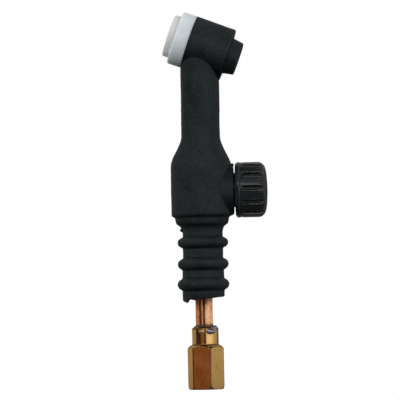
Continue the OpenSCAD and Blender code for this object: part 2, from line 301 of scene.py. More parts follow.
class Mat:
    def __init__(self, name):
        self.m = bpy.data.materials.new(name)
        self.m.use_nodes = True
        self.t = self.m.node_tree
        self.t.nodes.clear()
        out = self.t.nodes.new("ShaderNodeOutputMaterial")
        self.bsdf = self.t.nodes.new("ShaderNodeBsdfPrincipled")
        self.link(self.bsdf, "BSDF", out, "Surface")
        self.place = self.t.nodes.new("ShaderNodeTexCoord")
        self.height = None

    def link(self, a, ao, b, bi):
        self.t.links.new(a.outputs[ao], b.inputs[bi])

    def set(self, **values):
        for k, v in values.items():
            self.bsdf.inputs[k.replace("_", " ")].default_value = v
        return self

    def mapped(self, scale):
        n = self.t.nodes.new("ShaderNodeMapping")
        n.inputs["Scale"].default_value = scale if hasattr(scale, "__len__") else (scale,) * 3
        self.link(self.place, "Object", n, "Vector")
        return n

    def noise(self, scale, detail=2.0, rough=0.5, distortion=0.0):
        """A noise texture whose features are about 1/scale metres: scale is a number or one for each axis."""
        n = self.t.nodes.new("ShaderNodeTexNoise")
        n.inputs["Scale"].default_value = 1.0
        n.inputs["Detail"].default_value = detail
        n.inputs["Roughness"].default_value = rough
        n.inputs["Distortion"].default_value = distortion
        self.link(self.mapped(scale), "Vector", n, "Vector")
        return n.outputs["Fac"]

    def specks(self, scale, size, keep):
        """Small round specks: 1 in a speck. size is a share of the cell, and keep the share of cells that has one."""
        n = self.t.nodes.new("ShaderNodeTexVoronoi")
        n.inputs["Scale"].default_value = 1.0
        n.inputs["Randomness"].default_value = 1.0
        self.link(self.mapped(scale), "Vector", n, "Vector")
        near = self.ramp(n.outputs["Distance"], [(size * 0.6, 1), (size, 0)])
        sep = self.t.nodes.new("ShaderNodeSeparateColor")
        self.t.links.new(n.outputs["Color"], sep.inputs["Color"])
        some = self.math("LESS_THAN", sep.outputs["Red"], keep)
        return self.math("MULTIPLY", near, some)

    def attribute(self, name):
        n = self.t.nodes.new("ShaderNodeAttribute")
        n.attribute_name = name
        return n.outputs["Fac"]

    def axis(self, which):
        n = self.t.nodes.new("ShaderNodeSeparateXYZ")
        self.link(self.place, "Object", n, "Vector")
        return n.outputs[which]

    def math(self, op, a, b=None, c=None, clamp=False):
        n = self.t.nodes.new("ShaderNodeMath")
        n.operation = op
        n.use_clamp = clamp
        for i, v in enumerate((a, b, c)):
            if v is None:
                continue
            if isinstance(v, (int, float)):
                n.inputs[i].default_value = v
            else:
                self.t.links.new(v, n.inputs[i])
        return n.outputs[0]

    def ramp(self, fac, stops):
        """A colour ramp. Each stop is (place, value) or (place, colour)."""
        n = self.t.nodes.new("ShaderNodeValToRGB")
        e = n.color_ramp.elements
        while len(e) < len(stops):
            e.new(0.5)
        for s, (at, v) in zip(e, stops):
            s.position = at
            s.color = (v, v, v, 1) if isinstance(v, (int, float)) else (*v, 1)
        self.t.links.new(fac, n.inputs["Fac"])
        return n.outputs["Color"]

    def mix(self, fac, a, b, kind="MIX"):
        n = self.t.nodes.new("ShaderNodeMix")
        n.data_type = "RGBA"
        n.blend_type = kind
        for name, v in (("Factor", fac), ("A", a), ("B", b)):
            socket = [s for s in n.inputs if s.name == name and s.enabled][0]
            if isinstance(v, (int, float)):
                socket.default_value = v if name == "Factor" else (v, v, v, 1)
            elif isinstance(v, tuple):
                socket.default_value = (*v, 1)
            else:
                self.t.links.new(v, socket)
        return [s for s in n.outputs if s.enabled][0]

    def to(self, socket, value):
        self.t.links.new(value, self.bsdf.inputs[socket])
        return self

    def bump(self, height, distance, strength=1.0):
        n = self.t.nodes.new("ShaderNodeBump")
        n.inputs["Strength"].default_value = strength
        n.inputs["Distance"].default_value = distance
        self.t.links.new(height, n.inputs["Height"])
        if self.height is not None:
            self.t.links.new(self.height, n.inputs["Normal"])
        self.height = n.outputs["Normal"]
        self.t.links.new(self.height, self.bsdf.inputs["Normal"])
        return self


def rubber_material(name):
    m = Mat(name)
    fine, grain, middle, large = m.noise(5200, 2), m.noise(2100, 3, 0.6), m.noise(800, 3, 0.6), m.noise(105, 3, 0.55, 0.5)
    t = m.math("MULTIPLY_ADD", grain, 0.42, m.math("MULTIPLY_ADD", middle, 0.26, m.math("MULTIPLY", large, 0.32)))
    tone = m.ramp(t, [(0.40, (0.0060, 0.0090, 0.0100)), (0.60, (0.0206, 0.0270, 0.0284))])
    # lighter convex edges: partly rubbed by handling, partly painted highlight along the edges
    painted_edge_light = m.ramp(m.attribute("wear_and_light"), [(0.575, 0.0), (0.82, 0.75)])
    tone = m.mix(m.math("MULTIPLY", painted_edge_light, m.ramp(middle, [(0.35, 0.35), (0.65, 1.0)])), tone, (0.044, 0.049, 0.050))
    # painted shade: darker in creases and hollows
    tone = m.mix(m.ramp(m.attribute("wear_and_light"), [(0.33, 0.9), (0.475, 0.0)]), tone, (0.0026, 0.0037, 0.0043))
    # painted shade from the shade attribute: darker undersides, the top of the boss and the tail's torn end
    tone = m.mix(m.math("MULTIPLY", m.attribute("shade"), 0.85), tone, (0.0022, 0.0032, 0.0037))
    rub = m.math("MULTIPLY", m.ramp(m.noise(330, 4, 0.6, 1.2), [(0.60, 0.0), (0.72, 1.0)]), 0.35)
    tone = m.mix(rub, tone, (0.030, 0.034, 0.035))
    dust = m.math("MULTIPLY", m.specks(400, 0.075, 0.13), m.ramp(large, [(0.42, 0.2), (0.62, 1.0)]))
    tone = m.mix(dust, tone, (0.17, 0.18, 0.18))
    m.to("Base Color", tone)
    m.to("Roughness", m.ramp(m.math("MULTIPLY_ADD", middle, 0.4, m.math("MULTIPLY", large, 0.6)), [(0.36, 0.50), (0.64, 0.70)]))
    m.set(Specular_IOR_Level=0.18)
    m.bump(middle, 0.00007, 0.6).bump(grain, 0.00005, 0.7).bump(fine, 0.00002, 0.6)
    return m.m


def plastic_material(name):
    m = Mat(name)
    fine, middle, large = m.noise(3600, 3), m.noise(900, 3, 0.6), m.noise(130, 3, 0.5, 0.6)
    t = m.math("MULTIPLY_ADD", middle, 0.5, m.math("MULTIPLY", large, 0.5))
    tone = m.ramp(t, [(0.37, (0.0062, 0.0084, 0.0091)), (0.63, (0.0130, 0.0161, 0.0171))])
    # painted highlight along the convex edges of the grooves and rims, patchy
    painted_edge_light = m.ramp(m.attribute("wear_and_light"), [(0.64, 0.0), (0.86, 0.95)])
    tone = m.mix(m.math("MULTIPLY", painted_edge_light, m.ramp(middle, [(0.36, 0.2), (0.60, 1.0)])), tone, (0.150, 0.156, 0.159))
    # painted shade: darker in the grooves and creases
    tone = m.mix(m.ramp(m.attribute("wear_and_light"), [(0.22, 0.8), (0.46, 0.0)]), tone, (0.0016, 0.0020, 0.0022))
    scuff = m.math("MULTIPLY", m.ramp(m.noise((240, 5200, 2600), 3, 0.55), [(0.60, 0.0), (0.70, 1.0)]), m.ramp(large, [(0.45, 0.0), (0.6, 0.7)]))
    tone = m.mix(scuff, tone, (0.030, 0.032, 0.034))
    m.to("Base Color", tone)
    m.to("Roughness", m.ramp(m.math("MULTIPLY_ADD", middle, 0.55, m.math("MULTIPLY", scuff, 0.35)), [(0.2, 0.20), (0.6, 0.36)]))
    m.set(Specular_IOR_Level=0.31)
    m.bump(middle, 0.00004, 0.45).bump(fine, 0.000012, 0.5)
    return m.m


def brass_material(name, streak, base=(0.80, 0.50, 0.165), stain=0.5, spatter=None):
    """Machined brass. streak is the scale of its tool marks along each axis, and spatter the middle and half size, in X and Z, of a patch of solder spatter."""
    m = Mat(name)
    marks, grain, large = m.noise(streak, 3, 0.6), m.noise(1700, 3, 0.6), m.noise(170, 3, 0.55, 0.5)
    t = m.math("MULTIPLY_ADD", grain, 0.4, m.math("MULTIPLY_ADD", marks, 0.3, m.math("MULTIPLY", large, 0.3)))
    dim = tuple(v * k for v, k in zip(base, (0.84, 0.78, 0.66)))
    tone = m.ramp(t, [(0.40, dim), (0.58, tuple(v * k for v, k in zip(base, (1.04, 1.05, 1.10))))])
    tarnish = m.math("MULTIPLY", m.ramp(m.noise(520, 4, 0.65, 0.9), [(0.58, 0.0), (0.70, 1.0)]), stain)
    tone = m.mix(tarnish, tone, (0.50, 0.235, 0.075))
    tone = m.mix(m.math("MULTIPLY", m.specks(800, 0.15, 0.15), 0.65), tone, (0.12, 0.05, 0.025))
    # painted dark reflection along the convex corners and edges
    painted_edge_light = m.math("MULTIPLY", m.ramp(m.attribute("wear_and_light"), [(0.55, 0.0), (0.67, 0.92)]), m.ramp(grain, [(0.36, 0.55), (0.6, 1.0)]))
    tone = m.mix(painted_edge_light, tone, (0.19, 0.06, 0.03))
    tone = m.mix(m.ramp(m.attribute("wear_and_light"), [(0.30, 0.85), (0.46, 0.0)]), tone, (0.15, 0.055, 0.028))
    # painted shade: darker towards the bottom of the fitting
    low = m.math("MULTIPLY_ADD", large, 0.5, m.math("MULTIPLY", m.axis("Z"), 62.0))
    tone = m.mix(m.ramp(low, [(0.22, 0.34), (0.85, 0.0)]), tone, (0.30, 0.13, 0.05))
    m.to("Base Color", tone)
    m.to("Roughness", m.ramp(m.math("MULTIPLY_ADD", marks, 0.5, m.math("MULTIPLY", large, 0.5)), [(0.38, 0.12), (0.62, 0.23)]))
    m.set(Metallic=1.0, Specular_Tint=(0.94, 0.74, 0.52, 1))
    if spatter:
        patch = 1.0
        for which, at, half in (("X", spatter[0], spatter[2]), ("Z", spatter[1], spatter[3])):
            off = m.math("ABSOLUTE", m.math("MULTIPLY_ADD", m.axis(which), 1000.0, -at))
            patch = m.math("MULTIPLY", patch, m.ramp(m.math("DIVIDE", off, half * 1.5), [(0.45, 1.0), (0.8, 0.0)]))
        patch = m.math("MULTIPLY", patch, m.ramp(m.axis("Y"), [(0.0, 1.0), (0.0005, 0.0)]))
        m.bump(m.math("MULTIPLY", m.noise(2300, 2, 0.5), patch), 0.0005, 1.0)
    m.bump(marks, 0.000006, 0.6).bump(grain, 0.000004, 0.5)
    return m.m


def copper_material(name, base, film, gloss, metal, streak=None, painted_highlight=None):
    """Drawn copper. film is how much of a pale dull film covers it. streak is the place and half width of a scorched
    line along it, and painted_highlight of a paler band painted on as a highlight, in millimetres.
    """
    m = Mat(name)
    marks, grain, large = m.noise((2600, 2600, 200), 3, 0.6), m.noise(1500, 3, 0.6), m.noise(330, 4, 0.6, 0.9)
    t = m.math("MULTIPLY_ADD", grain, 0.45, m.math("MULTIPLY", large, 0.55))
    tone = m.ramp(t, [(0.38, tuple(v * k for v, k in zip(base, (0.80, 0.66, 0.56)))), (0.5, base), (0.62, tuple(min(0.98, v * k) for v, k in zip(base, (1.05, 1.18, 1.3))))])
    pale = m.math("MULTIPLY", m.ramp(m.math("MULTIPLY_ADD", large, 0.6, m.math("MULTIPLY", grain, 0.4)), [(0.45, 0.0), (0.55, 1.0)]), film)
    wob = m.math("MULTIPLY_ADD", m.noise((700, 700, 420), 3, 0.6), 0.5, -0.25)

    def band(at, inner, outer):
        off = m.math("ABSOLUTE", m.math("MULTIPLY_ADD", m.axis("X"), 1000.0, m.math("SUBTRACT", wob, at)))
        return m.ramp(off, [(inner, 1.0), (outer, 0.0)])

    # painted highlight: a paler band along the line, with fewer dark patches in it
    highlight_band = band(painted_highlight[0], painted_highlight[1] * 0.35, painted_highlight[1]) if painted_highlight else 0.0
    if painted_highlight:
        pale = m.math("MAXIMUM", pale, m.math("MULTIPLY", highlight_band, m.ramp(grain, [(0.34, 0.55), (0.52, 1.0)])))
    tone = m.mix(pale, tone, (1.0, 0.68, 0.40))
    dark = m.math("MULTIPLY", m.ramp(m.noise((1100, 1100, 600), 4, 0.7, 0.6), [(0.54, 0.0), (0.62, 1.0)]), 0.8)
    tone = m.mix(m.math("MULTIPLY", dark, m.math("MULTIPLY_ADD", highlight_band, -0.8, 1.0)), tone, (0.40, 0.13, 0.04))
    if streak:
        tone = m.mix(m.math("MULTIPLY", band(streak[0], streak[1] * 0.75, streak[1] * 1.3), 0.94), tone, (0.028, 0.012, 0.008))
    tone = m.mix(m.math("MULTIPLY", band(-0.31, 0.18, 0.42), 0.92), tone, (0.045, 0.012, 0.006))  # painted shade where the two lines touch
    foot = m.math("MULTIPLY_ADD", m.axis("Z"), 400.0, m.math("MULTIPLY_ADD", grain, 1.3, -10.55))
    tone = m.mix(m.math("MULTIPLY", m.ramp(foot, [(0.0, 1.0), (0.55, 0.0)]), 0.9), tone, (0.06, 0.035, 0.022))
    m.to("Base Color", tone)
    m.to("Roughness", m.ramp(m.math("MULTIPLY_ADD", pale, 0.5, m.math("MULTIPLY", marks, 0.5)), [(0.15, gloss), (0.6, gloss + 0.22)]))
    m.set(Metallic=metal, Specular_Tint=(0.98, 0.80, 0.60, 1), Specular_IOR_Level=0.45)
    m.bump(marks, 0.000014, 0.6).bump(grain, 0.00001, 0.6)
    return m.m


def solder_material(name):
    m = Mat(name)
    grain, large = m.noise(1500, 3, 0.6), m.noise(520, 4, 0.6, 0.7)
    tone = m.ramp(large, [(0.36, (0.075, 0.085, 0.100)), (0.56, (0.46, 0.50, 0.54))])
    tone = m.mix(m.ramp(m.noise(800, 4, 0.65, 0.6), [(0.56, 0.0), (0.66, 0.6)]), tone, (0.05, 0.045, 0.045))
    # the film round the lines: partly burnt soldering residue, partly painted shade on the rim's top; the bead keeps
    # its metal
    burnt_flux_and_shade = m.ramp(grain, [(0.40, (0.030, 0.018, 0.012)), (0.62, (0.16, 0.085, 0.04))])
    tone = m.mix(m.attribute("flux_and_shade"), tone, burnt_flux_and_shade)
    m.to("Base Color", tone)
    m.to("Roughness", m.ramp(grain, [(0.35, 0.10), (0.7, 0.30)]))
    m.to("Metallic", m.ramp(m.attribute("flux_and_shade"), [(0.2, 1.0), (0.8, 0.25)]))
    m.bump(large, 0.00005, 0.3).bump(grain, 0.00002, 0.3)
    return m.m


def ptfe_material(name):
    m = Mat(name)
    fine, middle, large = m.noise(3000, 3), m.noise(750, 3, 0.6), m.noise(120, 2, 0.5, 0.4)
    tone = m.ramp(m.math("MULTIPLY_ADD", middle, 0.4, m.math("MULTIPLY", large, 0.6)), [(0.38, (0.622, 0.686, 0.716)), (0.60, (0.672, 0.736, 0.756))])
    tone = m.mix(m.attribute("thin"), tone, (0.82, 0.84, 0.815))
    mark = m.math("MULTIPLY", m.ramp(m.noise(1100, 4, 0.7, 0.9), [(0.60, 0.0), (0.72, 1.0)]), 0.22)
    tone = m.mix(mark, tone, (0.55, 0.56, 0.55))
    tone = m.mix(m.math("MULTIPLY", m.specks(500, 0.08, 0.06), 0.5), tone, (0.30, 0.29, 0.27))
    m.to("Base Color", tone)
    m.to("Roughness", m.ramp(middle, [(0.35, 0.36), (0.65, 0.52)]))
    m.set(Specular_IOR_Level=0.3, Subsurface_Weight=0.7, Subsurface_Radius=(1.0, 0.97, 0.92), Subsurface_Scale=0.0075)
    m.bump(middle, 0.00003, 0.45).bump(fine, 0.00001, 0.5)
    return m.m


RUBBER = rubber_material("rubber_moulding")
KNOB = plastic_material("knob_moulding")
BRASS = brass_material("brass_milled", (3000, 3000, 260), spatter=(-1.3, 22.8, 0.9, 0.7))
BRASS_TURNED = brass_material("brass_turned", (300, 300, 7000), (0.79, 0.51, 0.19), 0.4)
COPPER_ROD = copper_material("copper_rod", (0.82, 0.32, 0.13), 0.12, 0.36, 0.5, streak=(-1.66, 0.46))
COPPER_TUBE = copper_material("copper_tube", (0.98, 0.45, 0.20), 0.45, 0.34, 0.10, painted_highlight=(1.1, 1.3))
COPPER_INNER = copper_material("copper_inner", (0.86, 0.46, 0.26), 0.2, 0.28, 1.0)
SOLDER = solder_material("soft_solder")
PTFE = ptfe_material("white_ptfe_cup")
SEAL = rubber_material("seal_ring")

# ---------------------------------------------------------------- rubber moulding, as one field


def profile_table():
    """The turned outline of the moulding: its radius along the axis, across (A) and in depth (B), and their slopes."""
    zs = np.arange(26, 102, 0.05)
    pts = [(26, 8.15), (38, 8.1), (44, 8.1), (46.5, 8.02), (50, 7.76), (61.5, 7.74), (62.4, 7.95), (62.95, 8.2), (63.5, 8.6), (63.9, 9.1), (64.3, 9.72), (64.7, 10.05), (65.2, 10.2), (66.1, 10.35), (66.85, 10.45)]
    pts += [(67.2, 10.75), (67.65, 11.75), (68.2, 12.02), (69, 12.05), (78, 12.06), (84.5, 12.02), (140, 12.0)]
    raw = np.interp(zs, [p[0] for p in pts], [p[1] for p in pts])
    for z0, tip, fat in ((40.9, 10.0, 2.15), (48.8, 9.86, 2.1), (57.2, 9.78, 1.9)):  # half-round beads
        bead = tip - fat + np.sqrt(np.maximum(fat**2 - (zs - z0) ** 2, 0))
        raw = np.maximum(raw, np.where(np.abs(zs - z0) < fat, bead, 0))
    out = np.zeros_like(raw)
    pad = 60
    wide = np.pad(raw, pad, mode="edge")
    for sigma, weight in ((0.27, 1 - smooth((zs - 61.5) / 1.5)), (0.16, smooth((zs - 61.5) / 1.5))):
        k = np.exp(-0.5 * (np.arange(-pad, pad + 1) * 0.05 / sigma) ** 2)
        out += weight * np.convolve(wide, k / k.sum(), mode="valid")
    t = np.clip((zs - 84.5) / 15.0, 0, 1)
    c = (1 + np.cos(math.pi * t)) / 2
    tl = np.clip((zs - 86.4) / 12.9, 0, 1)
    cl = (1 + np.cos(math.pi * tl)) / 2
    a = np.where(zs > 84.5, 7.45 + (out - 7.45) * c, out)
    al = np.where(zs > 84.5, 7.45 + (out - 7.45) * cl, out)
    b = np.where(zs > 84.5, 9.0 + (out - 9.0) * c, out)
    return zs, (a, al, b), tuple(np.gradient(v, zs) for v in (a, al, b))


PZ, PR, PD = profile_table()


def trunk(x, y, z):
    """Tail, housing, shoulder and neck: round below, a rounded flat section in the neck."""
    zc = np.clip(z, 26.1, 101.8)
    x = x + np.interp(zc, [26, 42, 58, 62.5, 64, 67.3, 68.2, 84, 98, 102], [0.30, 0.27, 0.16, 0.2, 0.3, 0.28, 0.04, 0.04, 0.17, 0.17])
    x = x - 0.15 * smooth((z - 104) / 9)
    side = smooth(0.5 - x / 5)
    A, AL, B = (np.interp(zc, PZ, v) for v in PR)
    dA, dAL, dB = (np.interp(zc, PZ, v) for v in PD)
    A, dA = A + (AL - A) * side, dA + (dAL - dA) * side
    n = 2 + 0.55 * smooth((z - 84) / 14)
    ax, by = np.abs(x) / A + 1e-6, np.abs(y) / B + 1e-6
    an, bn = ax**n, by**n
    q = an + bn
    s = q ** (1 / n)
    k = s / q
    gx, gy = k * an / ax / A, k * bn / by / B
    gz = -k * (an * dA / A + bn * dB / B)
    return (s - 1) / np.sqrt(gx * gx + gy * gy + gz * gz)


def rubber_field(p):
    x, y, z = p[..., 0], p[..., 1], p[..., 2]
    rz = z - HEAD_Z
    s = x * U[0] + rz * U[2]
    px, pz = x - s * U[0], rz - s * U[2]
    rho = np.sqrt(px * px + y * y + pz * pz)
    out = smax(trunk(x, y, z), np.maximum(z - 133.5, s - 4.1), 0.15)
    # boss
    rb = np.sqrt(y * y + (z - VALVE_Z) ** 2)
    boss = np.maximum(rounded(rb - 9.6, x - 12.35, 0.55), -x)
    out = smin(out, boss, 0.45)
    # head and its rear collar
    head = rounded(rho - (10.5 + 0.017 * (s - 4.1)), -11.85 - s, 0.38)
    head = smax(head, s - 4.1, 0.1)
    out = smin(out, head, 0.14)
    low = (px * U[2] - pz * U[0]) * 0.22 / np.maximum(rho, 1)
    collar = rounded((rho + low - (7.12 + 0.16 * (s + 11.8))) * 0.983, -16.35 - s, 0.42)
    collar = np.maximum(collar, s + 4)
    out = smin(out, collar, 0.14)
    # slack of the mould, and the line where its halves met
    out = out - 0.035 * waves(p, 0.55, 11) - 0.012 * waves(p, 2.3, 12)
    line = np.exp(-((y / 0.24) ** 2)) * (0.10 + 0.05 * waves(p, 1.7, 13))
    line = line * smooth((rho - 6.9) / 0.4 + (124 - z) / 3) * smooth((12.0 - x) / 0.3 + np.abs(z - VALVE_Z) / 8 - 0.6)
    out = out - line
    # torn bits of flash
    flash = np.sqrt(((x + 8.15) / 0.9) ** 2 + (y / 0.5) ** 2 + ((z - 62.1) / 0.75) ** 2) * 0.6 - 0.6
    out = smin(out, flash, 0.35)
    flash = np.sqrt(((x - 11.9) / 0.7) ** 2 + ((y + 0.5) / 1.3) ** 2 + ((z - 87.25) / 0.55) ** 2) * 0.5 - 0.5
    out = smin(out, flash, 0.25)
    # the tail's torn lower end
    flat = p * [1, 1, 0]
    front = np.interp(x, [-9, -8.1, -6.5, -6.2, -5.35, -4.8, -4.0, -3.5, 0, 3, 6.6, 9], [34.35, 34.3, 33.7, 33.85, 35.4, 35.65, 35.6, 35.25, 35.2, 35.45, 36.0, 36.1])
    back = 35.55 + 0.05 * x + 0.45 * np.exp(-(((x - 2.2) / 0.7) ** 2)) - 0.5 * np.exp(-(((x + 3.5) / 1.6) ** 2))
    end = back + (front - back) * smooth(0.5 - y / 5)
    end = end + 0.10 * waves(flat, 1.7, 21) + 0.07 * waves(flat, 4.2, 22)
    out = smax(out, (end - z) * 0.8, 0.3)
    pocket = np.hypot((x + 0.25) / 4.15, y / 2.5) - 1
    pocket = smax(pocket * 2.3, z - 37.1 + 0.2 * waves(p, 1.4, 23), 0.5)
    out = smax(out, -pocket, 0.35)
    # what it is moulded round
    cut = np.minimum(np.hypot(x - 1.48, y) - 0.06, np.hypot(x + 1.94, y)) - 1.72
    cut = np.maximum(cut, z - 73.2)
    r0 = np.hypot(x, y)
    cut = np.minimum(cut, np.maximum(r0 - 4.33, np.maximum(70 - z, z - 88.52)))
    cut = np.minimum(cut, np.maximum(rb - 5.23, np.maximum(-5.55 - x, x - 11.4)))
    cut = np.minimum(cut, np.maximum(rb - 7.2, 11.2 - x))
    cut = np.minimum(cut, np.maximum(r0 - 4.23, np.abs(z - 89.4) - 0.92))
    cut = np.minimum(cut, np.maximum(r0 - 3.68, np.maximum(90 - z, z - 123)))
    cut = np.minimum(cut, np.maximum(r0 - 4.23, np.abs(z - 122.1) - 0.92))
    cut = np.minimum(cut, np.maximum(r0 - 4.63, np.maximum(122.98 - z, z - 133)))
    cut = np.minimum(cut, np.maximum(rho - 6.23, np.maximum(-11.03 - s, s - 8)))
    cut = np.minimum(cut, np.maximum(rho - 5.63, np.maximum(-15.83 - s, s)))
    cut = np.minimum(cut, np.maximum(rho - 5.0, s + 12))
    return smax(out, -cut, 0.08)


COARSE = 1.0
CUTS = [97.25 + 3.5 * i for i in range(7)]
TAIL_NET = surface_of(rubber_field, (-13.3, -12.8, 32.2), (13.3, 12.8, 98.6), 0.33 * COARSE)
NECK_NET = surface_of(rubber_field, (-10.4, -11.9, 96.0), (18.4, 11.9, 147.4), 0.27 * COARSE)


def shade_of(p, normal):
    """Painted shade on the rubber: darker undersides, most on the head, the boss and the step; the top of the boss next
    to the knob; and the torn end round the copper.
    """
    x, z = p[:, 0], p[:, 2]
    s = p @ U - HEAD_Z * U[2]
    # painted shade on undersides, most on the head, the boss and the step
    most = smooth((z - 116) / 4) * smooth((s + 12.2) / 0.4) + 0.85 * smooth((x - 6) / 3) * smooth((14 - np.abs(z - VALVE_Z)) / 4) + 0.5 * smooth(1 - np.abs(z - 63.9) / 2.1)
    # painted shade at the tail's torn end round the copper
    tail_end_shade = 0.75 * smooth((38.4 - z) / 2.4) * smooth((6.0 - np.abs(x)) / 2.5)
    # painted shade on the top of the boss, next to the knob
    boss_top_shade = 0.85 * smooth((x - 7.4) / 1.6) * smooth((10.4 - np.hypot(p[:, 1], z - VALVE_Z)) / 0.4) * smooth((normal[:, 2] - 0.12) / 0.45)
    return np.clip((0.12 + most) * smooth((-normal[:, 2] - 0.08) / 0.6) + tail_end_shade + boss_top_shade, 0, 1)


def slab(name, z0, z1, net):
    """The part of the rubber between two heights, closed at its cuts, with the normals of the whole moulding."""
    V, Q = net
    zf = V[Q][:, :, 2]
    q = Q[(zf.max(1) > z0) & (zf.min(1) < z1)]
    used, inverse = np.unique(q, return_inverse=True)
    me = bpy.data.meshes.new(name)
    me.from_pydata(V[used].tolist(), [], inverse.reshape(-1, 4).tolist())
    bm = bmesh.new()
    bm.from_mesh(me)
    caps = bm.faces.layers.int.new("cap")
    for z, sign in ((z0, -1), (z1, 1)):
        if not math.isfinite(z):
            continue
        cut = bmesh.ops.bisect_plane(bm, geom=bm.verts[:] + bm.edges[:] + bm.faces[:], dist=1e-6, plane_co=(0, 0, z), plane_no=(0, 0, sign), clear_outer=True)
        edges = [g for g in cut["geom_cut"] if isinstance(g, bmesh.types.BMEdge)]
        made = bmesh.ops.triangle_fill(bm, edges=edges, use_beauty=True, use_dissolve=False)
        for f in made["geom"]:
            if isinstance(f, bmesh.types.BMFace):
                f.normal_update()
                if f.normal.z * sign < 0:
                    f.normal_flip()
                f[caps] = sign
    bm.to_mesh(me)
    bm.free()
    n = len(me.vertices)
    co = np.zeros(n * 3)
    me.vertices.foreach_get("co", co)
    co = co.reshape(-1, 3)
    normal = unit(pit(rubber_field, co, 0.03))
    cap = np.zeros(len(me.polygons), int)
    me.attributes["cap"].data.foreach_get("value", cap)
    me.attributes.remove(me.attributes["cap"])
    total = np.zeros(len(me.polygons), int)
    me.polygons.foreach_get("loop_total", total)
    corner = np.zeros(len(me.loops), int)
    me.loops.foreach_get("vertex_index", corner)
    of_face = np.repeat(cap, total)
    loops = normal[corner]
    loops[of_face != 0] = 0
    loops[of_face != 0, 2] = of_face[of_face != 0]
    me.vertices.foreach_set("co", (co * MM).astype(np.float32).ravel())
    me.update()
    me.shade_smooth()
    wear_and_light_of(me, normal)
    a = me.attributes.new("shade", "FLOAT", "POINT")
    a.data.foreach_set("value", shade_of(co, normal).astype(np.float32))
    me.normals_split_custom_set(loops.tolist())
    return make(name, me, RUBBER)


lower = slab("rubber_lower", -math.inf, CUTS[0], TAIL_NET)
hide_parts("valve_housing")
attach(lower, "torch_body")
for i in range(6):
    skin = slab(f"neck_skin_{i + 1}", CUTS[i], CUTS[i + 1], NECK_NET)
    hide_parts(*[f"neck_sleeve_{j}" for j in (i, i + 1) if 1 <= j <= 5])
    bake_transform(skin)
head = slab("rubber_head", CUTS[6], math.inf, NECK_NET)
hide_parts("head_cover")
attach(head, "torch_head")

# ---------------------------------------------------------------- cable fitting

AP, CORNER = 6.35, 0.62  # half the width across flats, and the rounding of the corners


def hex_radius(angles):
    d = (angles - math.radians(-12)) % (TAU / 6)
    d = np.minimum(d, TAU / 6 - d)  # from the nearest corner
    flat = AP / np.cos(math.pi / 6 - d)
    c = (AP - CORNER) / math.cos(math.pi / 6)
    arc = c * np.cos(d) + np.sqrt(np.maximum(CORNER**2 - (c * np.sin(d)) ** 2, 0))
    limit = math.atan2(CORNER * 0.5, c + CORNER * math.cos(math.pi / 6))
    return np.where(d < limit, arc, flat)


def hex_angles():
    half = [0.5, 1.0, 1.5, 2.0, 2.5, 3.0, 3.6, 4.4] + list(np.linspace(6, 30, 14))
    one = sorted([-a for a in half[:-1]] + [0.0] + half)
    return np.radians(np.concatenate([-12 + 60 * k + np.array(one) for k in range(6)]))


def fitting():
    th = hex_angles()
    hexr = hex_radius(th)
    limit_z = [0, 0.08, 0.25, 0.75, 1.3, 2.0, 15.75, 17.2]
    limit_r = [6.3, 6.55, 6.78, 7.08, 7.22, 7.4, 7.45, 5.85]

    def outer(i, s, r, a):
        return smin(hexr, np.interp(s, limit_z, limit_r) * np.ones_like(a), 0.10)

    zs = np.concatenate([np.arange(0, 2.8, 0.1), np.linspace(2.9, 15.2, 12), np.arange(15.3, 17.2, 0.1), [17.2]])
    body = turned([[z, 7] for z in zs], th, upright, outer)
    top = dense([[17.24, 5.75], [17.26, 5.42], [17.5, 5.19], [17.9, 5.15], [20, 5.15], [23.72, 5.15], [24.2, 4.68], [24.2, 0]], 0.5, 0.12)
    top = turned(top, th, upright)
    mouth = dense([[0, 5.75], [0.0, 4.95], [0.35, 4.62]], 0.3)
    mouth = turned(mouth, th, upright)
    pitch = 1.06
    wall = turned([[z, 4.25] for z in np.arange(0.45, 11.2, pitch / 10)], th, upright, lambda i, s, r, a: thread(s, a, 0.3, 11.2, 4.25, 0.48, pitch) + 0.35 * np.clip(1 - (s - 0.35) / 0.5, 0, 1) ** 2)
    floor_ = turned(dense([[11.3, 4.25], [12.0, 4.2], [12.4, 3.6], [12.6, 1.0], [12.6, 0]], 0.6), th, upright)
    rings = np.concatenate([floor_[::-1], wall[::-1], mouth[::-1], body, top])
    return loft("cable_fitting_brass", [(rings, False)], BRASS, 30)


def lines():
    th = around(72)

    def skin(seed):
        def radius(i, s, r, a):
            p = np.stack([np.cos(a) * 1.6, np.sin(a) * 1.6, np.full_like(a, s)], -1)
            return r + (0.022 * waves(p, 1.3, seed) if s < 72.4 else 0)

        return radius

    def shift(rings, x, seed, lean):
        z = rings[:, :, 2:3]
        k = smooth((z - 24.6) / 4) * smooth((41 - z) / 5)
        d = 0.02 * k * np.sin(z * 0.55 + seed) + lean * k
        rings = rings + np.concatenate([x + d, 0.6 * d, 0 * d], -1)
        return rings

    zs = np.concatenate([[19.5], np.arange(20, 37, 0.35), np.arange(38, 72.5, 2.5)])
    tube = [[z, 1.6] for z in zs] + [[73.0, 1.6], [73.0, 0.95]] + [[z, 0.95] for z in (60, 45, 30, 19.5)]
    tube = [[z, 1.74 if r == 1.6 else r] for z, r in tube]
    tube = turned(tube, th, upright, skin(3))
    tube = loft("gas_tube_copper", [(shift(tube, 1.45, 0.4, -0.09), True)], COPPER_TUBE)
    rod = [[19.5, 0], [19.5, 1.6]] + [[z, 1.6] for z in zs[1:]] + [[72.6, 1.6], [72.6, 0]]
    rod = [[z, 1.64 if r == 1.6 else r] for z, r in rod]
    rod = turned(rod, th, upright, skin(5))
    rod = loft("power_rod_copper", [(shift(rod, -1.96, 2.2, 0.0), False)], COPPER_ROD)
    return tube, rod


fit = fitting()
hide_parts("cable_fitting")
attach(fit, "torch_body")
gas, rod = lines()
for o, n in ((gas, "gas_tube"), (rod, "power_rod")):
    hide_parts(n)
    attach(o, "torch_body")


